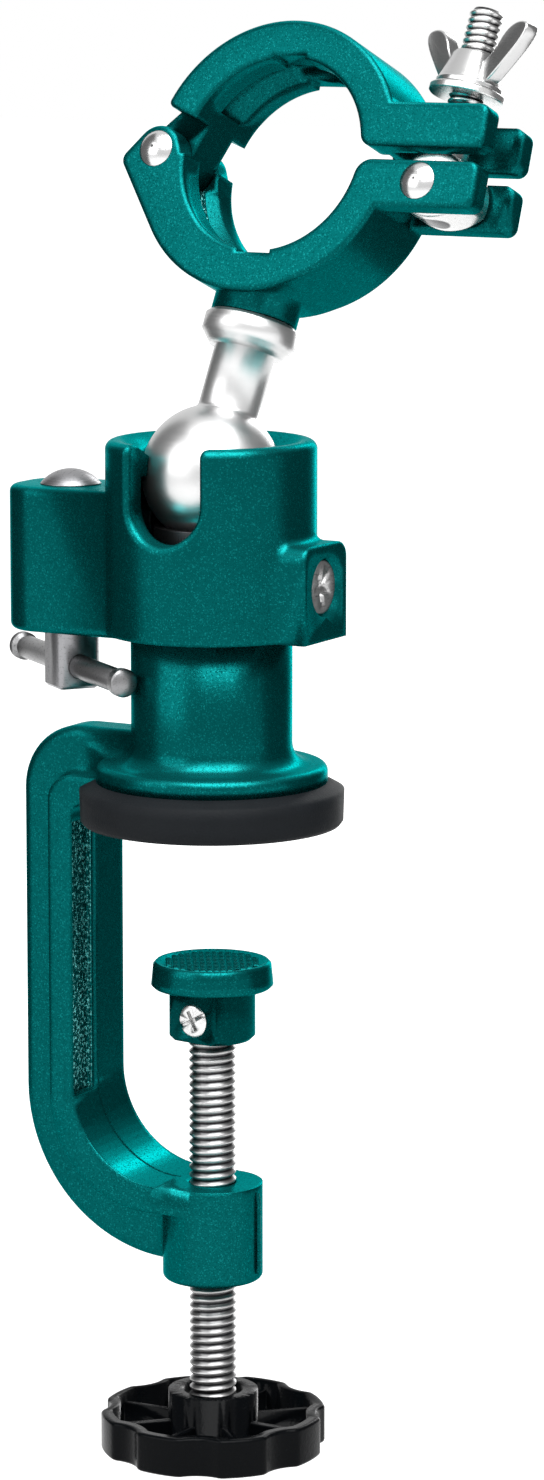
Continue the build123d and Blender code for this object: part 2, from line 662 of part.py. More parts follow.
def tommy_bar():
    half = TOMMY_LENGTH / 2
    shoulder = half - TOMMY_END_LENGTH
    neck = TOMMY_RADIUS - TOMMY_GROOVE
    end = [
        (TOMMY_RADIUS, shoulder - TOMMY_GROOVE_WIDTH - TOMMY_GROOVE),
        (neck, shoulder - TOMMY_GROOVE_WIDTH),
        (neck, shoulder),
        (TOMMY_END_RADIUS, shoulder),
        (TOMMY_END_RADIUS, half - TOMMY_END_CHAMFER),
        (TOMMY_END_RADIUS - TOMMY_END_CHAMFER, half),
        (0, half),
    ]
    other_end = [(radius, -height) for radius, height in reversed(end)]
    return Pos(CAM_X, 0, TOMMY_Z) * Rot(0, 0, TOMMY_ANGLE) * Rot(0, 90, 0) * revolved(other_end + end)


def lock_plunger():
    tail = CAM_X + CAM_RADIUS - CAM_LOBE_RELIEF + PLUNGER_GAP
    return along_x(PLUNGER_RADIUS, tail, PLUNGER_NOSE, PLUNGER_Z) - ball_clearance()


def stud_place():
    # Ball centre, with Z along the leaning stud
    axis = Vector(*STUD_LEAN).normalized()
    across = Vector(1, 0, 0) - axis * axis.X
    return Plane(origin=(0, 0, BALL_Z), x_dir=across, z_dir=axis)


def ring_place():
    # Ring centre, with x along the ears, y up and z towards the notch side
    stud = stud_place()
    level = stud.x_dir.rotate(Axis((0, 0, 0), stud.z_dir), -RING_SPIN)
    front = level.cross(stud.z_dir)
    ears = level.rotate(Axis((0, 0, 0), front), RING_TILT)
    return Plane(origin=stud.origin + stud.z_dir * STUD_TO_RING, x_dir=ears, z_dir=front)


def ball_stud():
    body = revolved([
        (0, 0),
        (NECK_RADIUS, 0),
        (NECK_RADIUS, COLLAR_UNDERSIDE),
        (COLLAR_RADIUS - COLLAR_CHAMFER_DEPTH, COLLAR_UNDERSIDE),
        (COLLAR_RADIUS, COLLAR_UNDERSIDE + COLLAR_CHAMFER),
        (COLLAR_RADIUS, COLLAR_TOP - COLLAR_EDGE),
        (COLLAR_RADIUS - COLLAR_EDGE, COLLAR_TOP),
        (STUD_SPIGOT_RADIUS, COLLAR_TOP),
        (STUD_SPIGOT_RADIUS, STUD_SPIGOT_END),
        (0, STUD_SPIGOT_END),
    ])
    body += Sphere(BALL_RADIUS)
    root = level_edges(body, math.sqrt(BALL_RADIUS ** 2 - NECK_RADIUS ** 2))
    return stud_place().location * fillet(root, NECK_ROOT_ROUND)


def jaw_cuts():
    # What both jaws leave free: the groove between the rims and the eye bolt's slot
    groove = Cylinder(BORE_RADIUS + RIM_DEPTH, JAW_WIDTH - 2 * RIM_WIDTH)
    slot = Box(EAR_END, 2 * EAR_END, EAR_SLOT, align=(Align.MIN, Align.CENTER, Align.CENTER))
    return groove + Pos(EAR_SLOT_END, 0, 0) * slot


def jaw_bore():
    return Circle(BORE_RADIUS) + Rectangle(RELIEF_WIDTH, 2 * (BORE_RADIUS + RELIEF_DEPTH))


def ear(low, high):
    # An ear that starts inside the bore, which is cut afterwards
    start = BORE_RADIUS / 2
    return Pos((start + EAR_END) / 2, (low + high) / 2) * Rectangle(EAR_END - start, high - low)


def jaw_slab(outline, mouth, mouth_round):
    # A jaw's outline given its width, with the corners of its ear and bore, and all rims, rounded
    half = JAW_WIDTH / 2
    ends = [vertex for vertex in outline.vertices() if vertex.X > EAR_END - NEAR]
    outline = fillet(ends, EAR_CORNER)
    lips = []
    for vertex in outline.vertices():
        if abs(vertex.Y - mouth) < NEAR and 0 < vertex.X < BORE_RADIUS:
            lips.append(vertex)
    body = extrude(Pos(0, 0, -half) * fillet(lips, mouth_round), JAW_WIDTH)
    return fillet(face_edges(body, half), JAW_EDGE_ROUND)


def pin_hole(x, y, radius):
    return Pos(x, y, 0) * Cylinder(radius, 2 * JAW_WIDTH)


def upper_jaw():
    far = 2 * JAW_RADIUS
    sector = make_face(Polyline(
        (0, 0),
        polar(far, UPPER_START_ANGLE),
        (-far, far),
        (far, far),
        (far, UPPER_EAR_LOW),
        (BORE_RADIUS / 2, UPPER_EAR_LOW),
        close=True,
    ))
    outline = (Circle(JAW_RADIUS) & sector) + ear(UPPER_EAR_LOW, UPPER_EAR_HIGH) - jaw_bore()
    outline = fillet(outline.vertices().sort_by(Axis.X)[0], UPPER_START_ROUND)
    body = jaw_slab(outline, UPPER_EAR_LOW, UPPER_BORE_CORNER) - jaw_cuts()
    tongue = make_face(Polyline(
        (HINGE_X - LUG_ROUND, HINGE_Y),
        (HINGE_X + LUG_ROUND, HINGE_Y),
        polar(BORE_RADIUS, UPPER_START_ANGLE),
        polar(BORE_RADIUS, TONGUE_ROOT_ANGLE),
        polar(JAW_RADIUS - JAW_EDGE_ROUND, TONGUE_ROOT_ANGLE),
        polar(JAW_RADIUS, UPPER_START_ANGLE),
        polar(TONGUE_BULGE, TONGUE_BULGE_ANGLE),
        close=True,
    ))
    tongue += Pos(HINGE_X, HINGE_Y) * Circle(LUG_ROUND)
    body += extrude(Pos(0, 0, -TONGUE_WIDTH / 2) * (tongue - Circle(BORE_RADIUS)), TONGUE_WIDTH)
    return body - pin_hole(HINGE_X, HINGE_Y, RIVET_SHANK + PIN_CLEARANCE)


def lower_swell():
    # The lower jaw is thicker towards its hinge, on a circle set a little that way
    return Pos(*polar(LUG_SWELL_SHIFT, LUG_SWELL_ANGLE)) * Circle(LUG_SWELL_RADIUS)


def lower_lug():
    # The lower jaw's hinge lug, straight from its round top to its tip, to the swell below and to the bore
    tip = (HINGE_X - LUG_TIP_REACH, HINGE_Y - LUG_TIP_DROP)
    top = tangent_point(-LUG_TIP_REACH, -LUG_TIP_DROP, LUG_ROUND, -1)
    neck = tangent_point(LUG_NECK_REACH, -LUG_NECK_DROP, LUG_ROUND)
    swell = polar(LUG_SWELL_SHIFT, LUG_SWELL_ANGLE)
    foot = tangent_point(tip[0] - swell[0], tip[1] - swell[1], LUG_SWELL_RADIUS)
    outline = make_face(Polyline(
        (HINGE_X + top[0], HINGE_Y + top[1]),
        tip,
        (swell[0] + foot[0], swell[1] + foot[1]),
        (0, -BORE_RADIUS),
        (HINGE_X + LUG_NECK_REACH, HINGE_Y - LUG_NECK_DROP),
        (HINGE_X + neck[0], HINGE_Y + neck[1]),
        close=True,
    ))
    outline = fillet(outline.vertices().sort_by(Axis.X)[0], LUG_TIP_ROUND)
    return outline + Pos(HINGE_X, HINGE_Y) * Circle(LUG_ROUND)


def lower_jaw():
    below = Rectangle(4 * JAW_RADIUS, 2 * JAW_RADIUS, align=(Align.CENTER, Align.MAX))
    below = Pos(0, LOWER_EAR_HIGH) * below
    hoop = (Circle(JAW_RADIUS) + lower_swell()) & below
    outline = lower_lug() + hoop + ear(LOWER_EAR_LOW, LOWER_EAR_HIGH) - jaw_bore()
    body = jaw_slab(outline, LOWER_EAR_HIGH, LOWER_BORE_CORNER) - jaw_cuts()
    slot = TONGUE_WIDTH + 2 * TONGUE_GAP
    body -= Pos(HINGE_X, HINGE_Y, 0) * Cylinder(LUG_ROUND + TONGUE_SWING_GAP, slot)
    mouth = Box(4 * LUG_ROUND, 4 * LUG_ROUND, slot, align=(Align.CENTER, Align.MIN, Align.CENTER))
    body -= Pos(HINGE_X, LOWER_EAR_HIGH, 0) * mouth
    down = Rot(0, 0, -RING_TILT) * Rot(90, 0, 0)
    inner_wall = BORE_RADIUS + RIM_DEPTH + JAW_BOSS_WALL
    body += down * upright(JAW_BOSS_RADIUS, inner_wall, STUD_TO_RING - COLLAR_TOP - JAW_BOSS_GAP)
    hole_end = STUD_TO_RING - STUD_SPIGOT_END - JAW_BOSS_GAP
    body -= down * upright(STUD_SPIGOT_RADIUS + PIN_CLEARANCE, hole_end, STUD_TO_RING)
    body -= pin_hole(HINGE_X, HINGE_Y, RIVET_SHANK)
    return body - pin_hole(EYE_X, EYE_Y, RIVET_SHANK)


def rivet(x, y):
    half = JAW_WIDTH / 2
    cap = Pos(0, 0, half) * dome(RIVET_HEAD, RIVET_DOME)
    return Pos(x, y, 0) * (Cylinder(RIVET_SHANK, JAW_WIDTH) + cap + Rot(180, 0, 0) * cap)


def bolt_place():
    # Eye centre, with Z along the bolt, in the ring's frame
    return Pos(EYE_X, EYE_Y, 0) * Rot(0, 0, -BOLT_LEAN) * Rot(-90, 0, 0)


def eye_bolt():
    eye = Rot(90, 0, 0) * Cylinder(EYE_RADIUS, EYE_THICKNESS)
    rise = EYE_UNDERSIDE_RADIUS - EYE_UNDERSIDE
    eye &= Pos(0, 0, rise) * Rot(90, 0, 0) * Cylinder(EYE_UNDERSIDE_RADIUS, 2 * EYE_THICKNESS)
    eye = fillet(eye.edges().filter_by(GeomType.CIRCLE), EYE_EDGE_ROUND)
    thread_start = BOLT_PLAIN + BOLT_END_CHAMFER
    thread_end = BOLT_LENGTH - BOLT_END_CHAMFER
    points = [(0, 0), (BOLT_SHANK, 0), (BOLT_SHANK, BOLT_PLAIN)]
    points += thread_outline(BOLT_CREST, BOLT_THREAD_DEPTH, BOLT_PITCH, thread_start, thread_end)
    points += [(BOLT_CREST - BOLT_THREAD_DEPTH - BOLT_END_CHAMFER, BOLT_LENGTH), (0, BOLT_LENGTH)]
    hole = Rot(90, 0, 0) * Cylinder(RIVET_SHANK + PIN_CLEARANCE, 2 * EYE_THICKNESS)
    return bolt_place() * (eye + revolved(points) - hole)


def nut_washer():
    top = WASHER_SEAT + WASHER_THICKNESS
    body = upright(WASHER_RADIUS, WASHER_SEAT, top)
    body = chamfer(level_edges(body, WASHER_SEAT) + level_edges(body, top), WASHER_EDGE)
    body -= upright(BOLT_CREST + SCREW_CLEARANCE, WASHER_SEAT - OVER, top + OVER)
    return bolt_place() * body


def nut_wing():
    outline = make_face(Polyline(
        (WING_ROOT, WING_FOOT_HEIGHT),
        (WING_FOOT, WING_FOOT_HEIGHT),
        (WING_SPAN, WING_TIP_LOW),
        (WING_SPAN, WING_TIP_HIGH),
        (WING_SHOULDER, WING_HEIGHT),
        (WING_ROOT, NUT_HEIGHT - OVER),
        close=True,
    ))
    corners = [vertex for vertex in outline.vertices() if vertex.X > WING_FOOT + NEAR]
    wing = extrude(Plane.XZ * fillet(corners, WING_CORNER), WING_THICKNESS / 2, both=True)
    rims = []
    for edge in wing.edges():
        middle = edge.center()
        if abs(abs(middle.Y) - WING_THICKNESS / 2) < NEAR and middle.X > WING_ROOT + NEAR:
            rims.append(edge)
    return fillet(rims, WING_EDGE_ROUND)


def wing_nut():
    base = WASHER_SEAT + WASHER_THICKNESS + NUT_GAP
    hub = revolved([
        (0, 0),
        (NUT_BASE_RADIUS - NUT_EDGE, 0),
        (NUT_BASE_RADIUS, NUT_EDGE),
        (NUT_BASE_RADIUS, NUT_FLANGE),
        (NUT_TOP_RADIUS, NUT_HEIGHT - NUT_EDGE),
        (NUT_TOP_RADIUS - NUT_EDGE, NUT_HEIGHT),
        (0, NUT_HEIGHT),
    ])
    wing = nut_wing()
    body = hub + wing + Rot(0, 0, 180) * wing - Cylinder(BOLT_CREST + SCREW_CLEARANCE, 4 * NUT_HEIGHT)
    return bolt_place() * Pos(0, 0, base) * Rot(0, 0, WING_ANGLE) * body


def main():
    os.makedirs("parts", exist_ok=True)
    ring = ring_place().location
    export("clamp_frame", clamp_frame())
    export("bench_pad", bench_pad())
    export("ball_seat", ball_seat())
    export("clamp_screw", clamp_screw())
    export("knob", knob())
    export("pressure_pad", pressure_pad())
    export("pad_screw", pad_screw())
    export("socket_head", socket_head())
    export("swivel_screw", swivel_screw())
    export("lock_cam", lock_cam())
    export("tommy_bar", tommy_bar())
    export("lock_plunger", lock_plunger())
    export("ball_stud", ball_stud())
    export("lower_jaw", ring * lower_jaw())
    export("upper_jaw", ring * upper_jaw())
    export("hinge_pin", ring * rivet(HINGE_X, HINGE_Y))
    export("eye_bolt_pin", ring * rivet(EYE_X, EYE_Y))
    export("eye_bolt", ring * eye_bolt())
    export("nut_washer", ring * nut_washer())
    export("wing_nut", ring * wing_nut())


main()
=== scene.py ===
import json
import math

import bmesh
import bpy
from mathutils import Matrix, Vector

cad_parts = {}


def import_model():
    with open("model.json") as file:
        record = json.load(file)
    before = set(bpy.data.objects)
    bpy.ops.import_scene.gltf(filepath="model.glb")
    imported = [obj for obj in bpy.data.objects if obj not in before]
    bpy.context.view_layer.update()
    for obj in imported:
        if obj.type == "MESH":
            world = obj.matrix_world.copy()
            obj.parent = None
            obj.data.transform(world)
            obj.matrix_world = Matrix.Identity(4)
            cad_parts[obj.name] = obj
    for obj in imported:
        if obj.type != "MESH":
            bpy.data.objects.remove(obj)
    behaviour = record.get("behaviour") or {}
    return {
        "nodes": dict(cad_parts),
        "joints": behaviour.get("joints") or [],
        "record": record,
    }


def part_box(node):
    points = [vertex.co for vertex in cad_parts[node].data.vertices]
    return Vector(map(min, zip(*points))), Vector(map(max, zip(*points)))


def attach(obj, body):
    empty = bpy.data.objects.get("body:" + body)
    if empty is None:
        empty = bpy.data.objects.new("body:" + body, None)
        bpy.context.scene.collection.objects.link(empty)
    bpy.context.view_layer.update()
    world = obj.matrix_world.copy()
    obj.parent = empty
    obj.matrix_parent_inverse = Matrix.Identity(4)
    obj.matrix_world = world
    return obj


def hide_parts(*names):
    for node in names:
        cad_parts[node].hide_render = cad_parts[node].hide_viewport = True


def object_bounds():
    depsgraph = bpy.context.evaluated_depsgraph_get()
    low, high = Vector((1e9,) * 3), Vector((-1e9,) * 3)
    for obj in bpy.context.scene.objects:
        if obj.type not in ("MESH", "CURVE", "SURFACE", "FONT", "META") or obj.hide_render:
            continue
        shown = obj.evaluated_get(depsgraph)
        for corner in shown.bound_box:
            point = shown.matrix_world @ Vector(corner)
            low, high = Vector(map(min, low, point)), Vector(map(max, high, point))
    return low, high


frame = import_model()
CAD_LOW, CAD_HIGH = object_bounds()

MM = 0.001
ORIGIN = (0, 0, 0)
UP = (0, 0, 1)
DOWN = (0, 0, -1)

# The photograph's camera, in metres. Its picture is 544 wide and 1480 high.
CAMERA_PLACE = Vector((0.52748, -0.92478, 0.19992))
CAMERA_AZIMUTH = math.radians(29.0)
CAMERA_PITCH = math.radians(9.7)
CAMERA_LENS = 81.081
CAMERA_SENSOR = 24.0

# Lines that the joints turn about, and the middle of the ring
JOINTS = {joint["name"]: joint for joint in frame["joints"]}
STUD_AXIS = JOINTS["ring_spin"]["axis"]
BOLT_AXIS = JOINTS["nut_spin"]["axis"]
EYE_CENTRE = JOINTS["eye_bolt_swing"]["pos_m"]
RING_AXIS = JOINTS["eye_bolt_swing"]["axis"]
RING_CENTRE = (7.231 * MM, 23.971 * MM, 139.782 * MM)


# Node trees

def add(tree, kind, **values):
    node = tree.nodes.new(kind)
    for name, value in values.items():
        setattr(node, name, value)
    return node


def join(tree, source, target):
    tree.links.new(source, target)


def fill(tree, sockets, values):
    # Gives each socket its value, or joins it to the socket that stands for one
    for socket, value in zip(sockets, values):
        if hasattr(value, "is_linked"):
            join(tree, value, socket)
        else:
            socket.default_value = value


def maths(tree, operation, first, second, clamp=False):
    node = add(tree, "ShaderNodeMath", operation=operation, use_clamp=clamp)
    fill(tree, node.inputs, (first, second))
    return node.outputs[0]


def vector_maths(tree, operation, *values):
    node = add(tree, "ShaderNodeVectorMath", operation=operation)
    fill(tree, node.inputs, values)
    return node.outputs["Value" if operation in ("DOT_PRODUCT", "LENGTH") else "Vector"]


def ramp(tree, source, stops):
    # Two stops, each a position and a grey
    node = add(tree, "ShaderNodeValToRGB")
    for element, (place, shade) in zip(node.color_ramp.elements, stops):
        element.position = place
        element.color = (shade, shade, shade, 1)
    join(tree, source, node.inputs["Fac"])
    return node.outputs["Color"]


def mix(tree, factor, first, second):
    # Two colours, each a socket or three numbers
    node = add(tree, "ShaderNodeMix", data_type="RGBA")
    colours = [value if hasattr(value, "is_linked") else (*value, 1) for value in (first, second)]
    fill(tree, (node.inputs[0], node.inputs[6], node.inputs[7]), (factor, *colours))
    return node.outputs[2]


def noise(tree, vector, scale, detail, roughness=0.5):
    node = add(tree, "ShaderNodeTexNoise")
    sockets = [node.inputs[label] for label in ("Detail", "Roughness", "Vector", "Scale")]
    fill(tree, sockets, (detail, roughness, vector, scale))
    return node.outputs["Fac"]


def here(tree):
    # The place of the surface in the object's own space
    return add(tree, "ShaderNodeTexCoord").outputs["Object"]


# Effects that several finishes share

AXIS_INPUTS = [("Axis X", 0.0), ("Axis Y", 0.0), ("Axis Z", 1.0)]
POINT_INPUTS = [("Point X", 0.0), ("Point Y", 0.0), ("Point Z", 0.0)]


def group(name, inputs, outputs):
    # Inputs are (name, default) and outputs are names, all of single numbers
    tree = bpy.data.node_groups.new(name, "ShaderNodeTree")
    for label, default in inputs:
        socket = tree.interface.new_socket(label, in_out="INPUT", socket_type="NodeSocketFloat")
        socket.default_value = default
    for label in outputs:
        tree.interface.new_socket(label, in_out="OUTPUT", socket_type="NodeSocketFloat")
    start = add(tree, "NodeGroupInput")
    end = add(tree, "NodeGroupOutput")
    return tree, start, end


def vector_input(tree, start, label):
    # Three inputs of a group as one vector
    node = add(tree, "ShaderNodeCombineXYZ")
    fill(tree, node.inputs, [start.outputs[label + " " + letter] for letter in "XYZ"])
    return node.outputs[0]


def placed(tree, made, **values):
    # A group in a finish. Three numbers go to the inputs X, Y and Z of their name.
    node = add(tree, "ShaderNodeGroup")
    node.node_tree = made
    for label, value in values.items():
        if isinstance(value, float):
            node.inputs[label].default_value = value
        else:
            fill(tree, [node.inputs[label + " " + letter] for letter in "XYZ"], value)
    return node


def flake_group():
    # Bright and dark grains of the metallic enamel, as two masks
    tree, start, end = group("enamel flakes", [("Scale", 3200.0), ("Share", 0.2)], ["Bright", "Dark"])
    cells = add(tree, "ShaderNodeTexVoronoi")
    join(tree, here(tree), cells.inputs["Vector"])
    join(tree, start.outputs["Scale"], cells.inputs["Scale"])
    split = add(tree, "ShaderNodeSeparateColor")
    join(tree, cells.outputs["Color"], split.inputs[0])
    bright = maths(tree, "LESS_THAN", split.outputs[0], start.outputs["Share"])
    join(tree, maths(tree, "MULTIPLY", bright, split.outputs[2]), end.inputs["Bright"])
    join(tree, maths(tree, "LESS_THAN", split.outputs[1], start.outputs["Share"]), end.inputs["Dark"])
    return tree


def swell_group():
    # The faint unevenness of a cast or moulded face under its finish
    tree, start, end = group("cast swell", [("Scale", 60.0), ("Fine", 900.0), ("Grain", 0.2)], ["Height"])
    place = here(tree)
    wide = noise(tree, place, start.outputs["Scale"], detail=1.0)
    fine = noise(tree, place, start.outputs["Fine"], detail=2.0)
    grain = maths(tree, "MULTIPLY", fine, start.outputs["Grain"])
    join(tree, maths(tree, "ADD", wide, grain), end.inputs["Height"])
    return tree


def scuff_group():
    # Thin scratches and soft smudges, as a mask from 0 to 1
    scratch_start = 0.55
    scratch_gain = 6.0
    smudge_scale = 45.0
    smudge_share = 0.5
    tree, start, end = group("scuffs", [("Scale", 300.0), ("Stretch", 12.0), ("Amount", 0.5)], ["Mask"])
    place = here(tree)
    parts = add(tree, "ShaderNodeSeparateXYZ")
    join(tree, place, parts.inputs[0])
    drawn = add(tree, "ShaderNodeCombineXYZ")
    fill(tree, drawn.inputs, (
        maths(tree, "MULTIPLY", parts.outputs[0], start.outputs["Stretch"]),
        parts.outputs[1],
        maths(tree, "MULTIPLY", parts.outputs[2], start.outputs["Stretch"])))
    streak = noise(tree, drawn.outputs[0], start.outputs["Scale"], detail=3.0, roughness=0.7)
    above = maths(tree, "SUBTRACT", streak, scratch_start, True)
    scratch = maths(tree, "MULTIPLY", above, scratch_gain, True)
    smudge = maths(tree, "MULTIPLY", noise(tree, place, smudge_scale, detail=3.0), smudge_share)
    total = maths(tree, "ADD", scratch, smudge)
    join(tree, maths(tree, "MULTIPLY", total, start.outputs["Amount"], True), end.inputs["Mask"])
    return tree


def turned_group():
    # Fine rings left by a lathe, square to an axis
    tree, start, end = group("turned rings", [("Pitch", 0.00025), *AXIS_INPUTS], ["Height"])
    along = vector_maths(tree, "DOT_PRODUCT", here(tree), vector_input(tree, start, "Axis"))
    line = add(tree, "ShaderNodeTexNoise", noise_dimensions="1D")
    line.inputs["Scale"].default_value = 1.0
    line.inputs["Detail"].default_value = 3.0
    join(tree, maths(tree, "DIVIDE", along, start.outputs["Pitch"]), line.inputs["W"])
    join(tree, line.outputs["Fac"], end.inputs["Height"])
    return tree


def painted_highlight_group():
    # 1 on faces that look up and 0 on upright and hanging ones, for a painted highlight that makes the
    # enamel there lighter, as if lit from above
    tree, start, end = group("upward faces", [("Start", 0.4), ("Gain", 2.0)], ["Mask"])
    parts = add(tree, "ShaderNodeSeparateXYZ")
    join(tree, add(tree, "ShaderNodeTexCoord").outputs["Normal"], parts.inputs[0])
    rise = maths(tree, "SUBTRACT", parts.outputs[2], start.outputs["Start"], True)
    join(tree, maths(tree, "MULTIPLY", rise, start.outputs["Gain"], True), end.inputs["Mask"])
    return tree


def root_darkening_group():
    # 0 at a thread's root and 1 at its crest, by the distance from its line, for a colour that darkens
    # toward the root
    inputs = [*POINT_INPUTS, *AXIS_INPUTS, ("Root", 0.004), ("Crest", 0.005)]
    tree, start, end = group("thread grime", inputs, ["Clean"])
    away = vector_maths(tree, "SUBTRACT", here(tree), vector_input(tree, start, "Point"))
    across = vector_maths(tree, "CROSS_PRODUCT", away, vector_input(tree, start, "Axis"))
    reach = vector_maths(tree, "LENGTH", across)
    above = maths(tree, "SUBTRACT", reach, start.outputs["Root"])
    depth = maths(tree, "SUBTRACT", start.outputs["Crest"], start.outputs["Root"])
    join(tree, maths(tree, "DIVIDE", above, depth, True), end.inputs["Clean"])
    return tree


FLAKES = flake_group()
PAINTED_HIGHLIGHT = painted_highlight_group()
ROOT_DARKENING = root_darkening_group()
SWELL = swell_group()
SCUFFS = scuff_group()
TURNED = turned_group()


# Parts of a finish

def surface(name, colour, roughness=0.5, metallic=0.0, specular=0.5, tint=(1.0, 1.0, 1.0)):
    material = bpy.data.materials.new(name)
    material.use_nodes = True
    tree = material.node_tree
    shader = tree.nodes["Principled BSDF"]
    shader.inputs["Base Color"].default_value = (*colour, 1)
    shader.inputs["Roughness"].default_value = roughness
    shader.inputs["Metallic"].default_value = metallic
    shader.inputs["Specular IOR Level"].default_value = specular
    shader.inputs["Specular Tint"].default_value = (*tint, 1)
    material.diffuse_color = (*colour, 1)
    return material, tree, shader


def finished(tree, shader, colour, roughness, normal):
    # Joins what the surface is made of to its shader
    join(tree, colour, shader.inputs["Base Color"])
    join(tree, roughness, shader.inputs["Roughness"])
    join(tree, normal, shader.inputs["Normal"])


def bump(tree, height, distance, strength, normal):
    node = add(tree, "ShaderNodeBump")
    sockets = [node.inputs[label] for label in ("Height", "Distance", "Strength", "Normal")]
    fill(tree, sockets, (height, distance, strength, normal))
    return node.outputs["Normal"]


def soft_edges(tree, radius):
    node = add(tree, "ShaderNodeBevel", samples=6)
    node.inputs["Radius"].default_value = radius
    return node.outputs["Normal"]


def within(tree, source, low, high, soft):
    # 1 where a distance lies between two values, with soft ends
    rise = maths(tree, "MULTIPLY", maths(tree, "SUBTRACT", source, low), 1 / soft, True)
    fall = maths(tree, "MULTIPLY", maths(tree, "SUBTRACT", high, source), 1 / soft, True)
    return maths(tree, "MULTIPLY", rise, fall)


def all_of(tree, first, second, third):
    # 1 where three masks lie over each other
    return maths(tree, "MULTIPLY", maths(tree, "MULTIPLY", first, second), third)


def from_axis(tree, point, axis):
    # How far the surface lies from a line
    away = vector_maths(tree, "SUBTRACT", here(tree), point)
    return vector_maths(tree, "LENGTH", vector_maths(tree, "CROSS_PRODUCT", away, axis))


def along_line(tree, point, direction):
    # How far the surface lies from a point, measured along a direction
    away = vector_maths(tree, "SUBTRACT", here(tree), point)
    return vector_maths(tree, "DOT_PRODUCT", away, direction)


# The floor of the frame's inner pocket: low end, high end and softness of each of its three reaches
POCKET_ACROSS = (-10.6 * MM, -0.6 * MM, 0.4 * MM)
POCKET_ALONG = (-62.6 * MM, -0.9 * MM, 0.6 * MM)
POCKET_DEEP = (-34 * MM, -30.2 * MM, 0.3 * MM)

# The rough floor of the lower jaw's groove, in the same way, and the side of the ring that it lies on
GROOVE_FLOOR = (24.4 * MM, 25.8 * MM, 0.2 * MM)
GROOVE_SIDE = (-0.75, -0.21, -0.63)
GROOVE_REACH = (20.5 * MM, 26 * MM, 1.5 * MM)
GROOVE_MIDDLE = (-4.6 * MM, 4.6 * MM, 0.5 * MM)

# The pressure pad's stem, by its distance from the clamp screw's line, where the shade under the pad is
# painted
STEM_REACH = (0.0, 10.4 * MM, 0.6 * MM)


def rough_pocket_and_glints(tree):
    # The floor of the frame's inner pocket, left rough as it came from the mould, with painted glints
    across = within(tree, along_line(tree, ORIGIN, (0, 1, 0)), *POCKET_ACROSS)
    along = within(tree, along_line(tree, ORIGIN, UP), *POCKET_ALONG)
    deep = within(tree, along_line(tree, ORIGIN, (1, 0, 0)), *POCKET_DEEP)
    return all_of(tree, across, along, deep)


def rough_groove_and_glints(tree):
    # The floor of the lower jaw's groove, rough where the mould was cut for the hinge, with painted glints
    bottom = within(tree, from_axis(tree, RING_CENTRE, RING_AXIS), *GROOVE_FLOOR)
    side = within(tree, along_line(tree, RING_CENTRE, GROOVE_SIDE), *GROOVE_REACH)
    middle = within(tree, along_line(tree, EYE_CENTRE, RING_AXIS), *GROOVE_MIDDLE)
    return all_of(tree, bottom, side, middle)


def painted_shade_on_hub(tree):
    # The stem of the pressure pad, painted dark as the shade under the pad
    return within(tree, from_axis(tree, ORIGIN, UP), *STEM_REACH)


# Finishes

ENAMEL_LOW = (0.0006, 0.063, 0.063)
ENAMEL_HIGH = (0.001, 0.082, 0.082)
# A painted highlight: the lighter teal of faces and rounded edges that look up
ENAMEL_PAINTED_HIGHLIGHT = (0.006, 0.24, 0.24)
ENAMEL_BRIGHT_FLAKE = (0.006, 0.2, 0.2)
ENAMEL_DARK_FLAKE = (0.0004, 0.048, 0.048)
# Painted shade: the dark teal of the pressure pad's stem under the pad
ENAMEL_PAINTED_SHADE = (0.0002, 0.012, 0.012)
# A painted glint: bright grains on rough cast floors
ENAMEL_PAINTED_GLINT = (0.3, 1.0, 0.98)
ENAMEL_SHINE = (0.02, 0.6, 0.6)
# The dark colour toward a thread's root
THREAD_ROOT_DARK = (0.018, 0.018, 0.02)


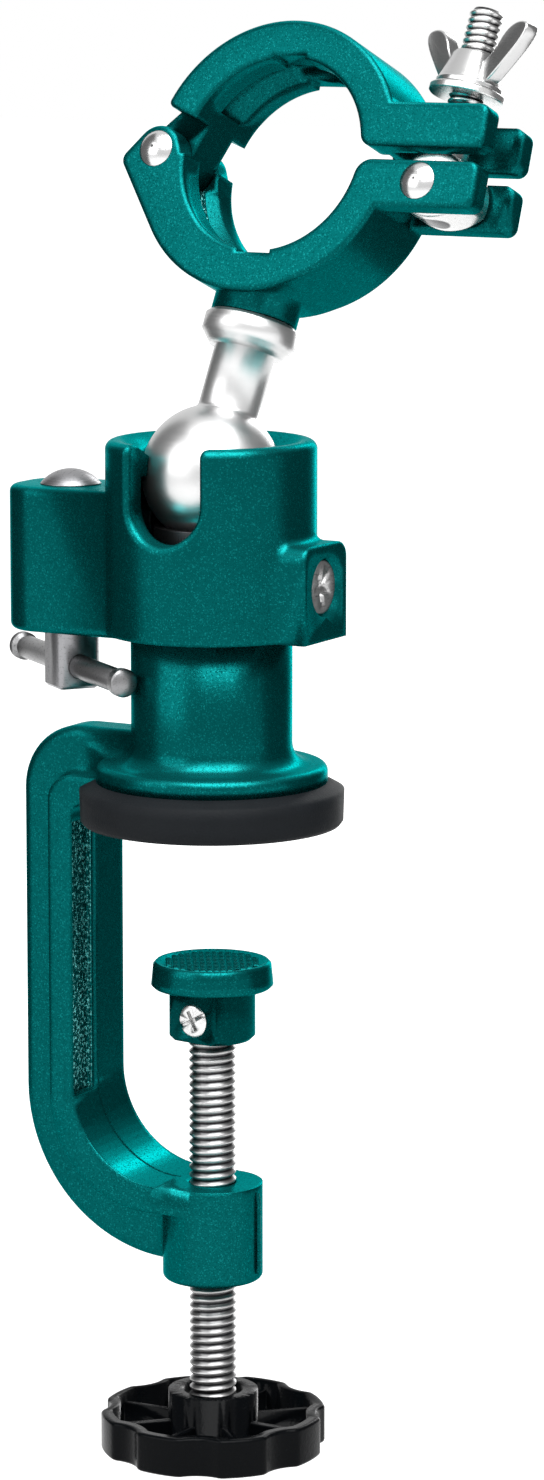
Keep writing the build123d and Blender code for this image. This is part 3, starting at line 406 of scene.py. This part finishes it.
def teal_enamel(name="teal enamel", rough_and_glint_place=None, painted_shade_place=None, edge=1.5 * MM):
    # Metallic enamel on a casting, with its rough places, where glints are also painted, and places painted
    # dark as shade
    bright_share = 0.6
    dark_share = 0.45
    painted_shade_share = 0.6
    glint_start = 0.51
    glint_gain = 9.0
    roughness = 0.26
    flake_roughness = 0.14
    material, tree, shader = surface(name, ENAMEL_HIGH, roughness, metallic=0.85, specular=0.0,
                                     tint=ENAMEL_SHINE)
    flakes = placed(tree, FLAKES, Scale=4200.0, Share=0.2)
    swell = placed(tree, SWELL, Scale=60.0, Fine=1500.0, Grain=0.12).outputs["Height"]
    # Painted highlight: faces that look up are mixed toward a lighter teal, as if lit from above
    painted_highlight = placed(tree, PAINTED_HIGHLIGHT, Start=0.4, Gain=2.0).outputs["Mask"]
    tone = mix(tree, swell, ENAMEL_LOW, ENAMEL_HIGH)
    tone = mix(tree, painted_highlight, tone, ENAMEL_PAINTED_HIGHLIGHT)
    bright = maths(tree, "MULTIPLY", flakes.outputs["Bright"], bright_share)
    tone = mix(tree, bright, tone, ENAMEL_BRIGHT_FLAKE)
    dark = maths(tree, "MULTIPLY", flakes.outputs["Dark"], dark_share)
    tone = mix(tree, dark, tone, ENAMEL_DARK_FLAKE)
    # Painted shade: the given place is mixed toward a dark teal
    if painted_shade_place:
        tone = mix(tree, maths(tree, "MULTIPLY", painted_shade_place(tree), painted_shade_share), tone, ENAMEL_PAINTED_SHADE)
    normal = bump(tree, swell, distance=0.00025, strength=0.5, normal=soft_edges(tree, edge))
    # Rough places get real pits and painted glints, bright grains mixed into the colour
    if rough_and_glint_place:
        place = rough_and_glint_place(tree)
        grit = noise(tree, here(tree), 1300.0, detail=3.0, roughness=0.7)
        painted_glint = maths(tree, "MULTIPLY", maths(tree, "SUBTRACT", grit, glint_start, True), glint_gain, True)
        tone = mix(tree, maths(tree, "MULTIPLY", painted_glint, place), tone, ENAMEL_PAINTED_GLINT)
        pits = maths(tree, "MULTIPLY", grit, place)
        normal = bump(tree, pits, distance=0.0006, strength=1.0, normal=normal)
    rough = maths(tree, "MULTIPLY", flakes.outputs["Dark"], flake_roughness)
    finished(tree, shader, tone, maths(tree, "ADD", roughness, rough), normal)
    return material


def steel(name, colour, dark, roughness, axis=UP, pitch=0.00025, depth=0.00001, scuffs=0.5, stretch=10.0,
          root_darkening=None):
    # Turned or plated steel, darker toward a thread's root where a thread is given: a point on its line, its
    # root and its crest.
    scuff_roughness = 0.25
    ring_roughness = 0.12
    material, tree, shader = surface(name, colour, roughness, metallic=1.0)
    mask = placed(tree, SCUFFS, Scale=260.0, Stretch=stretch, Amount=scuffs).outputs["Mask"]
    rings = placed(tree, TURNED, Pitch=pitch, Axis=axis).outputs["Height"]
    tone = mix(tree, mask, colour, dark)
    # Darker toward the thread's root
    if root_darkening:
        point, root, crest = root_darkening
        clean = placed(tree, ROOT_DARKENING, Point=point, Axis=axis, Root=root, Crest=crest).outputs["Clean"]
        tone = mix(tree, clean, THREAD_ROOT_DARK, tone)
    worn = maths(tree, "MULTIPLY", mask, scuff_roughness)
    fine = maths(tree, "MULTIPLY", rings, ring_roughness)
    rough = maths(tree, "ADD", maths(tree, "ADD", worn, fine), roughness - ring_roughness / 2)
    normal = bump(tree, rings, depth, strength=0.6, normal=soft_edges(tree, 0.25 * MM))
    finished(tree, shader, tone, rough, normal)
    return material


def bench_rubber():
    low = (0.0034, 0.0043, 0.0055)
    high = (0.0078, 0.0094, 0.0112)
    # The height of the swell and the roughness there
    gloss = (0.2, 0.42)
    dull = (0.9, 0.62)
    material, tree, shader = surface("bench rubber", low, specular=0.1)
    swell = placed(tree, SWELL, Scale=140.0, Fine=2200.0, Grain=0.9).outputs["Height"]
    rough = ramp(tree, swell, [gloss, dull])
    normal = bump(tree, swell, distance=0.00012, strength=0.8, normal=soft_edges(tree, 0.5 * MM))
    finished(tree, shader, mix(tree, swell, low, high), rough, normal)
    return material


def knob_plastic():
    clean = (0.0015, 0.0019, 0.0025)
    worn = (0.005, 0.006, 0.007)
    roughness = 0.17
    worn_roughness = 0.3
    material, tree, shader = surface("knob plastic", clean, roughness, specular=0.05)
    swell = placed(tree, SWELL, Scale=60.0, Fine=1400.0, Grain=0.35).outputs["Height"]
    mask = placed(tree, SCUFFS, Scale=200.0, Stretch=8.0, Amount=0.35).outputs["Mask"]
    rough = maths(tree, "ADD", roughness, maths(tree, "MULTIPLY", mask, worn_roughness))
    normal = bump(tree, swell, distance=0.0003, strength=0.5, normal=soft_edges(tree, 0.5 * MM))
    finished(tree, shader, mix(tree, mask, clean, worn), rough, normal)
    return material


# Each steel has its colour, the colour of its scuffs and its roughness, then what sets it apart
FINISHES = {
    "teal_enamel": teal_enamel(),
    "bench_rubber": bench_rubber(),
    "knob_plastic": knob_plastic(),
    # The ball seat's steel is painted nearly black, as the shade at the foot of the notch
    "seat_steel": steel("seat steel in painted shade", (0.08, 0.08, 0.085), (0.04, 0.04, 0.04), 0.4),
    "screw_zinc": steel("screw zinc", (0.42, 0.42, 0.42), (0.22, 0.22, 0.22), 0.28, scuffs=0.4, stretch=3.0,
                        root_darkening=(ORIGIN, 4.45 * MM, 5.05 * MM)),
    "bright_zinc": steel("bright zinc", (0.66, 0.66, 0.655), (0.36, 0.36, 0.36), 0.24, BOLT_AXIS,
                         root_darkening=(EYE_CENTRE, 3.15 * MM, 3.55 * MM)),
    "socket_screw_zinc": steel("socket screw zinc", (0.5, 0.5, 0.5), (0.1, 0.1, 0.1), 0.3, scuffs=0.9),
    "cam_steel": steel("cam steel", (0.3, 0.3, 0.31), (0.1, 0.1, 0.105), 0.32, scuffs=0.6),
    "tommy_steel": steel("tommy steel", (0.26, 0.26, 0.265), (0.08, 0.08, 0.08), 0.28, scuffs=0.8),
    "polished_steel": steel("polished steel", (0.6, 0.6, 0.6), (0.45, 0.45, 0.45), 0.34, STUD_AXIS,
                            pitch=0.0004, depth=0.000003, scuffs=0.08),
    "rivet_zinc": steel("rivet zinc", (0.62, 0.62, 0.62), (0.35, 0.35, 0.35), 0.2, scuffs=0.2, stretch=2.0),
    "wing_zinc": steel("wing zinc", (0.52, 0.52, 0.52), (0.35, 0.35, 0.35), 0.22, BOLT_AXIS,
                       scuffs=0.12, stretch=2.0),
}
# The pocket and groove floors carry painted glints as well as their pits
FRAME_ENAMEL = teal_enamel("teal enamel over a cast pocket", rough_and_glint_place=rough_pocket_and_glints)
JAW_ENAMEL = teal_enamel("teal enamel over a cast groove", rough_and_glint_place=rough_groove_and_glints)
# The pad's stem is painted dark, as the shade under the pad
PAD_ENAMEL = teal_enamel("teal enamel with painted shade on its hub", painted_shade_place=painted_shade_on_hub, edge=0.2 * MM)

# What each CAD node is made of, and the body that it moves with
SLOTS = {entry["node"]: entry["material_slot"] for entry in frame["record"]["subparts"]}
BODIES = {node: body for body, nodes in frame["record"]["behaviour"]["bodies"].items() for node in nodes}


# Pieces

# Points of a piece that lie this close are one
SAME_POINT = 1e-6
# The same for the CAD's meshes, whose triangles come loose
SAME_CAD_POINT = 2e-6
# A cut goes through points this close to it
CUT_REACH = 1e-7
# Smaller turns from face to face than this, in degrees, are shaded smooth
SMOOTH_TURN = 28.0


def finish_piece(piece, node, material=None, angle=SMOOTH_TURN):
    # Smooths, paints and seats a piece that rides with a CAD node's body
    piece.data.materials.clear()
    piece.data.materials.append(material or FINISHES[SLOTS[node]])
    piece.data.shade_smooth()
    piece.data.set_sharp_from_angle(angle=math.radians(angle))
    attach(piece, BODIES[node])
    return piece


def stand_for(piece, node, material=None, angle=SMOOTH_TURN):
    finish_piece(piece, node, material, angle)
    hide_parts(node)
    return piece


def piece_from(work, name):
    mesh = bpy.data.meshes.new(name)
    work.to_mesh(mesh)
    work.free()
    piece = bpy.data.objects.new(name, mesh)
    bpy.context.scene.collection.objects.link(piece)
    return piece


def gathered(parts, name):
    # Several closed shells in one piece
    whole = bmesh.new()
    for part in parts:
        mesh = bpy.data.meshes.new("part")
        part.to_mesh(mesh)
        part.free()
        whole.from_mesh(mesh)
        bpy.data.meshes.remove(mesh)
    return piece_from(whole, name)


def merged(node):
    # A bmesh of a CAD node's mesh with its loose triangles joined
    work = bmesh.new()
    work.from_mesh(frame["nodes"][node].data)
    bmesh.ops.remove_doubles(work, verts=work.verts, dist=SAME_CAD_POINT)
    return work


def dressed(node, material=None):
    # A merged, smooth copy of a CAD node that stands for it
    return stand_for(piece_from(merged(node), node + "_dressed"), node, material)


def trimmed(work, point, direction):
    # Cuts away what lies past a plane and closes the cut
    every = work.verts[:] + work.edges[:] + work.faces[:]
    bmesh.ops.bisect_plane(work, geom=every, dist=CUT_REACH, plane_co=point, plane_no=direction,
                           clear_outer=True)
    rim = [edge for edge in work.edges if edge.is_boundary]
    bmesh.ops.holes_fill(work, edges=rim, sides=0)
    return work


def outlined(work, points, closed=False):
    # Edges from point to point
    corners = [work.verts.new(point) for point in points]
    following = corners[1:] + corners[:1] if closed else corners[1:]
    for first, second in zip(corners, following):
        work.edges.new((first, second))


def drawn_out(work, face, move):
    # Makes a solid of one face by moving a copy of it
    grown = bmesh.ops.extrude_face_region(work, geom=[face])
    far = [item for item in grown["geom"] if isinstance(item, bmesh.types.BMVert)]
    bmesh.ops.translate(work, verts=far, vec=move)
    bmesh.ops.recalc_face_normals(work, faces=work.faces)


def eased(work, edges, offset, segments):
    bmesh.ops.bevel(work, geom=edges, offset=offset, offset_type="OFFSET", segments=segments, profile=0.5,
                    affect="EDGES", material=-1)


# Height over one pitch of a thread, from root to crest and back
THREAD_FORM = ((0.0, 0.0), (0.33, 0.84), (0.42, 1.0), (0.56, 1.0), (0.65, 0.84), (0.95, 0.0), (1.0, 0.0))


def thread(low, high, crest, depth, pitch, chamfer=0.0, steps=36):
    # A closed right-hand thread about Z, wound from one pitch of its outline and cut square at both ends
    work = bmesh.new()
    turns = math.ceil((high - low) / pitch) + 2
    base = low - pitch
    outlined(work, [(crest - depth * (1 - rise), 0, base + pitch * share) for share, rise in THREAD_FORM])
    bmesh.ops.spin(work, geom=work.verts[:] + work.edges[:], cent=ORIGIN, axis=UP,
                   dvec=(0, 0, pitch / steps), angle=math.tau * turns, steps=steps * turns,
                   use_merge=False, use_normal_flip=False, use_duplicate=False)
    bmesh.ops.remove_doubles(work, verts=work.verts, dist=SAME_POINT)
    trimmed(work, (0, 0, low), DOWN)
    trimmed(work, (0, 0, high), UP)
    bmesh.ops.recalc_face_normals(work, faces=work.faces)
    for vert in work.verts:
        reach = math.hypot(vert.co.x, vert.co.y)
        limit = crest - max(0.0, chamfer - (high - vert.co.z))
        if chamfer and reach > limit:
            vert.co.x *= limit / reach
            vert.co.y *= limit / reach
    return work


def clamp_screw():
    # The CAD's plain ends, with a wound thread from inside the knob to just under the pressure pad
    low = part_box("knob")[1].z - 1.0 * MM
    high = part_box("pressure_pad")[0].z - 0.3 * MM
    foot_lap = 0.4 * MM
    spigot_lap = 0.01 * MM
    foot = trimmed(merged("clamp_screw"), (0, 0, low), UP)
    spigot = trimmed(merged("clamp_screw"), (0, 0, high), DOWN)
    winding = thread(low - foot_lap, high + spigot_lap, crest=5.15 * MM, depth=0.78 * MM, pitch=1.85 * MM)
    stand_for(gathered([foot, winding, spigot], "clamp_screw_threaded"), "clamp_screw", angle=50.0)


def eye_bolt():
    # The CAD's eye with a wound thread, by heights above the eye's centre
    start = 12.3 * MM
    end = 41.4 * MM
    lap = 0.2 * MM
    centre = Vector(EYE_CENTRE)
    axis = Vector(BOLT_AXIS)
    eye = trimmed(merged("eye_bolt"), centre + axis * start, axis)
    winding = thread(start - lap, end, crest=3.7 * MM, depth=0.58 * MM, pitch=1.5 * MM, chamfer=0.9 * MM)
    turned = Matrix.Translation(centre) @ axis.to_track_quat("Z", "Y").to_matrix().to_4x4()
    bmesh.ops.transform(winding, matrix=turned, verts=winding.verts)
    stand_for(gathered([eye, winding], "eye_bolt_threaded"), "eye_bolt", angle=50.0)


def hatched_face(radius, pitch, rise, top):
    # A plate of small pyramids that fills a circle, closed underneath
    turn = math.radians(31)
    rim = 0.3 * pitch
    slope = 0.26 * pitch
    count = 2 * math.ceil(radius / pitch)
    work = bmesh.new()
    bmesh.ops.create_grid(work, x_segments=count, y_segments=count, size=count * pitch / 2)
    outside = [face for face in work.faces if face.calc_center_median().length > radius - rim]
    bmesh.ops.delete(work, geom=outside, context="FACES")
    plate = bmesh.ops.extrude_face_region(work, geom=work.faces[:])
    upper = {vert for item in plate["geom"] if isinstance(item, bmesh.types.BMFace) for vert in item.verts}
    bmesh.ops.translate(work, verts=list(upper), vec=(0, 0, rise))
    bmesh.ops.recalc_face_normals(work, faces=work.faces)
    raised = [face for face in work.faces if face.normal.z > 0.9 and face.calc_center_median().z > rise / 2]
    bmesh.ops.inset_individual(work, faces=raised, thickness=slope, depth=rise)
    bmesh.ops.rotate(work, verts=work.verts, matrix=Matrix.Rotation(turn, 3, "Z"))
    bmesh.ops.translate(work, verts=work.verts, vec=(0, 0, top - 2 * rise))
    return work


def pressure_pad():
    # The CAD's pad with its hatch, just below the top of its rim
    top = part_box("pressure_pad")[1].z - 0.1 * MM
    hatch = hatched_face(radius=11.1 * MM, pitch=1.45 * MM, rise=0.42 * MM, top=top)
    stand_for(gathered([merged("pressure_pad"), hatch], "pressure_pad_hatched"), "pressure_pad", PAD_ENAMEL)


def worn_star(turn):
    # How far the socket's five worn points and the flats between them reach, in mm
    points = 0.95 * math.cos(5 * turn + 0.6)
    wear = 0.25 * math.sin(3 * turn) + 0.18 * math.cos(11 * turn)
    return 2.5 + points + wear


def swivel_screw():
    # A stubby socket screw whose star recess is worn and bright
    low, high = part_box("swivel_screw")
    centre = (low + high) / 2
    radius = 5.85 * MM
    inner = 18.2 * MM
    tip_lap = 0.1 * MM
    # Each inset is a width and a depth
    face_insets = ((0.5 * MM, 0.0), (1.9 * MM, -0.12 * MM))
    socket_insets = ((0.18 * MM, -0.9 * MM), (0.5 * MM, -0.5 * MM))
    work = bmesh.new()
    bmesh.ops.create_circle(work, cap_ends=True, segments=60, radius=radius)
    work.faces.ensure_lookup_table()
    drawn_out(work, work.faces[0], (0, 0, high.x - inner))
    cap = max(work.faces, key=lambda item: item.calc_center_median().z)
    for width, depth in face_insets:
        bmesh.ops.inset_region(work, faces=[cap], thickness=width, depth=depth)
    for vert in cap.verts:
        turn = math.atan2(vert.co.y, vert.co.x)
        vert.co.xy = Vector((math.cos(turn), math.sin(turn))) * worn_star(turn) * MM
    for width, depth in socket_insets:
        bmesh.ops.inset_region(work, faces=[cap], thickness=width, depth=depth)
    rim = [edge for edge in work.edges if edge.calc_length() > 0 and all(
        abs(math.hypot(vert.co.x, vert.co.y) - radius) < SAME_POINT and vert.co.z > SAME_POINT
        for vert in edge.verts)]
    eased(work, rim, offset=0.35 * MM, segments=2)
    turned = Matrix.Translation((inner, 0, centre.z)) @ Matrix.Rotation(math.pi / 2, 4, "Y")
    bmesh.ops.transform(work, matrix=turned, verts=work.verts)
    tip = trimmed(merged("swivel_screw"), (inner + tip_lap, 0, 0), (1, 0, 0))
    stand_for(gathered([work, tip], "swivel_screw_worn"), "swivel_screw", angle=35.0)


# Outline of one wing of the nut, as distance from the bolt's line and height above the nut's base, in mm
WING_OUTLINE = ((3.9, 1.2), (7.2, 0.6), (11.2, 4.4), (17.2, 10.6), (17.7, 13.8), (13.8, 14.4), (10.4, 12.4),
                (8.2, 8.4), (5.0, 5.6), (3.9, 6.2))
WING_THICKNESS = 3.3 * MM
# Half outline of the nut's hub, in the same way
HUB_OUTLINE = ((3.78, 0.0), (6.9, 0.0), (7.25, 0.35), (7.25, 1.2), (6.9, 1.6), (5.0, 7.5), (4.6, 7.95),
               (3.78, 7.95))


def rounded(points, passes):
    # A closed outline with its corners cut off again and again
    for _ in range(passes):
        following = points[1:] + points[:1]
        points = [(a[0] + (b[0] - a[0]) * share, a[1] + (b[1] - a[1]) * share)
                  for a, b in zip(points, following) for share in (0.25, 0.75)]
    return points


def nut_hub():
    work = bmesh.new()
    outlined(work, [(reach * MM, 0, height * MM) for reach, height in HUB_OUTLINE], closed=True)
    bmesh.ops.spin(work, geom=work.verts[:] + work.edges[:], cent=ORIGIN, axis=UP, angle=math.tau, steps=64,
                   use_merge=True, use_duplicate=False)
    bmesh.ops.remove_doubles(work, verts=work.verts, dist=SAME_POINT)
    bmesh.ops.recalc_face_normals(work, faces=work.faces)
    return work


def nut_wing(side):
    # The wing on one side, 1 or -1
    work = bmesh.new()
    outline = [work.verts.new((side * reach * MM, -WING_THICKNESS / 2, height * MM))
               for reach, height in rounded(WING_OUTLINE, passes=2)]
    drawn_out(work, work.faces.new(outline), (0, WING_THICKNESS, 0))
    flats = [face for face in work.faces if abs(face.normal.y) > 0.9]
    rims = [edge for face in flats for edge in face.edges]
    eased(work, rims, offset=0.45 * MM, segments=3)
    return work


def wing_nut():
    # The nut with thick, round-ended wings, seated and turned as the CAD's nut
    centre = Vector(EYE_CENTRE)
    axis = Vector(BOLT_AXIS).normalized()
    cad = merged("wing_nut")
    heights = [(vert.co - centre).dot(axis) for vert in cad.verts]
    arms = [vert.co - centre - axis * height for vert, height in zip(cad.verts, heights)]
    out = max(arms, key=lambda arm: arm.length).normalized()
    cad.free()
    placing = Matrix((out, axis.cross(out), axis)).transposed().to_4x4()
    placing.translation = centre + axis * min(heights)
    parts = [nut_hub(), nut_wing(1), nut_wing(-1)]
    for part in parts:
        bmesh.ops.transform(part, matrix=placing, verts=part.verts)
    stand_for(gathered(parts, "wing_nut_rounded"), "wing_nut", angle=40.0)


def bead(name, points, radius):
    # A thin rounded ridge along a path
    curve = bpy.data.curves.new(name, "CURVE")
    curve.dimensions = "3D"
    curve.bevel_depth = radius
    curve.bevel_resolution = 2
    curve.use_fill_caps = True
    line = curve.splines.new("POLY")
    line.points.add(len(points) - 1)
    for point, place in zip(line.points, points):
        point.co = (*place, 1)
    holder = bpy.data.objects.new(name + "_line", curve)
    mesh = bpy.data.meshes.new_from_object(holder)
    bpy.data.objects.remove(holder)
    work = bmesh.new()
    work.from_mesh(mesh)
    bpy.data.meshes.remove(mesh)
    return work


def parting_line():
    # The mould's seam down the middle of the frame's inner face, and the fin it left on the screw boss
    wall = -29.2 * MM
    top = -1.0 * MM
    bend = 21.0 * MM
    bend_steps = 16
    arm_top = -80.2 * MM
    fin_side = 0.2 * MM
    fin_edge = ((11.0, -81.6), (11.35, -83.0), (11.45, -98.2), (11.0, -99.6))
    path = [(wall, 0, top), (wall, 0, arm_top + bend)]
    for step in range(1, bend_steps + 1):
        turn = math.radians(90 * step / bend_steps)
        path.append((wall + bend * (1 - math.cos(turn)), 0, arm_top + bend * (1 - math.sin(turn))))
    seam = bead("seam", path, radius=0.22 * MM)
    fin = bead("fin", [(reach * MM, fin_side, height * MM) for reach, height in fin_edge], radius=0.5 * MM)
    finish_piece(gathered([seam, fin], "parting_line"), "clamp_frame")


PLAIN = ("bench_pad", "ball_seat", "knob", "pad_screw", "socket_head", "lock_cam", "tommy_bar",
         "lock_plunger", "ball_stud", "upper_jaw", "hinge_pin", "eye_bolt_pin", "nut_washer")
for node in PLAIN:
    dressed(node)
dressed("clamp_frame", FRAME_ENAMEL)
dressed("lower_jaw", JAW_ENAMEL)
clamp_screw()
eye_bolt()
pressure_pad()
swivel_screw()
wing_nut()
parting_line()


# Stage, camera and light

def seen_directly(tree):
    # 1 for what the camera, a mirror-like face or glass looks at, and 0 for the light on the object
    path = add(tree, "ShaderNodeLightPath")
    shown = maths(tree, "MAXIMUM", path.outputs["Is Camera Ray"], path.outputs["Is Glossy Ray"])
    return maths(tree, "MAXIMUM", shown, path.outputs["Is Transmission Ray"])


def floor_white():
    # A matte floor that reads as white and keeps the object's shadow
    # The glow grows with half the distance from the object, in metres
    distance_share = 0.5
    near_glow = (0.08, 0.6)
    far_glow = (0.4, 1.0)
    material, tree, shader = surface("floor white", (0.6, 0.6, 0.6), 0.9, specular=0.0)
    shader.inputs["Emission Color"].default_value = (1, 1, 1, 1)
    far = maths(tree, "MULTIPLY", vector_maths(tree, "LENGTH", here(tree)), distance_share)
    glow = maths(tree, "MULTIPLY", seen_directly(tree), ramp(tree, far, [near_glow, far_glow]))
    join(tree, glow, shader.inputs["Emission Strength"])
    return material


def card_grey(shade):
    material, tree, shader = surface("card grey", (0, 0, 0), 1.0, specular=0.0)
    shader.inputs["Emission Color"].default_value = (1, 1, 1, 1)
    shader.inputs["Emission Strength"].default_value = shade
    return material


def floor():
    # Far enough down for the knob at the clamp screw's lowest place
    low = CAD_LOW.z - 33 * MM
    work = bmesh.new()
    bmesh.ops.create_grid(work, x_segments=1, y_segments=1, size=6.0)
    bmesh.ops.translate(work, verts=work.verts, vec=(0, 0, low))
    piece = piece_from(work, "floor")
    piece.data.materials.append(floor_white())


def card(name, azimuth, distance, width, height, shade):
    # A grey card beside the object, outside the picture, that only shows in reflections
    work = bmesh.new()
    bmesh.ops.create_grid(work, x_segments=1, y_segments=1, size=0.5)
    bmesh.ops.scale(work, verts=work.verts, vec=(width, height, 1))
    bmesh.ops.rotate(work, verts=work.verts, matrix=Matrix.Rotation(math.pi / 2, 3, "X"))
    turn = CAMERA_AZIMUTH + math.radians(azimuth)
    away = Vector((math.sin(turn), -math.cos(turn), 0))
    bmesh.ops.rotate(work, verts=work.verts, matrix=Matrix.Rotation(turn, 3, "Z"))
    bmesh.ops.translate(work, verts=work.verts, vec=away * distance + Vector((0, 0, CAD_LOW.z + height / 2)))
    piece = piece_from(work, name)
    piece.data.materials.append(card_grey(shade))
    piece.visible_camera = False
    piece.visible_diffuse = False
    piece.visible_shadow = False


def world():
    # White all round to the eye and in reflections, and a softer fill as light
    fill_light = 0.4
    made = bpy.data.worlds.new("studio")
    bpy.context.scene.world = made
    made.use_nodes = True
    tree = made.node_tree
    background = tree.nodes["Background"]
    background.inputs["Color"].default_value = (1, 1, 1, 1)
    join(tree, maths(tree, "MAXIMUM", seen_directly(tree), fill_light), background.inputs["Strength"])


def camera():
    made = bpy.data.objects.new("camera", bpy.data.cameras.new("camera"))
    bpy.context.scene.collection.objects.link(made)
    made.location = CAMERA_PLACE
    made.rotation_euler = (math.pi / 2 - CAMERA_PITCH, 0, CAMERA_AZIMUTH)
    made.data.lens = CAMERA_LENS
    made.data.sensor_width = CAMERA_SENSOR
    made.data.sensor_fit = "AUTO"
    bpy.context.scene.camera = made


def softbox(name, azimuth, elevation, distance, width, height, power):
    # A lamp that looks at the object's middle
    aim = Vector((0.0, 0.0, 0.02))
    turn = CAMERA_AZIMUTH + math.radians(azimuth)
    rise = math.radians(elevation)
    away = Vector((math.sin(turn) * math.cos(rise), -math.cos(turn) * math.cos(rise), math.sin(rise)))
    lamp = bpy.data.lights.new(name, "AREA")
    lamp.shape = "RECTANGLE"
    lamp.size = width
    lamp.size_y = height
    lamp.energy = power
    made = bpy.data.objects.new(name, lamp)
    made.location = aim + away * distance
    made.rotation_euler = away.to_track_quat("Z", "Y").to_euler()
    bpy.context.scene.collection.objects.link(made)


floor()
world()
camera()
# Azimuths count from the camera, positive to its right, in degrees. The other places are in metres.
card("right card", azimuth=106, distance=0.26, width=0.3, height=0.75, shade=0.25)
card("left card", azimuth=-112, distance=0.3, width=0.36, height=0.75, shade=0.18)
softbox("key", azimuth=-60, elevation=28, distance=1.2, width=0.9, height=0.9, power=5.2)
softbox("top bank", azimuth=12, elevation=62, distance=1.1, width=1.0, height=1.1, power=21.0)
softbox("rim strip", azimuth=156, elevation=14, distance=1.2, width=0.2, height=1.0, power=3.4)

bpy.context.scene.view_settings.view_transform = "Standard"
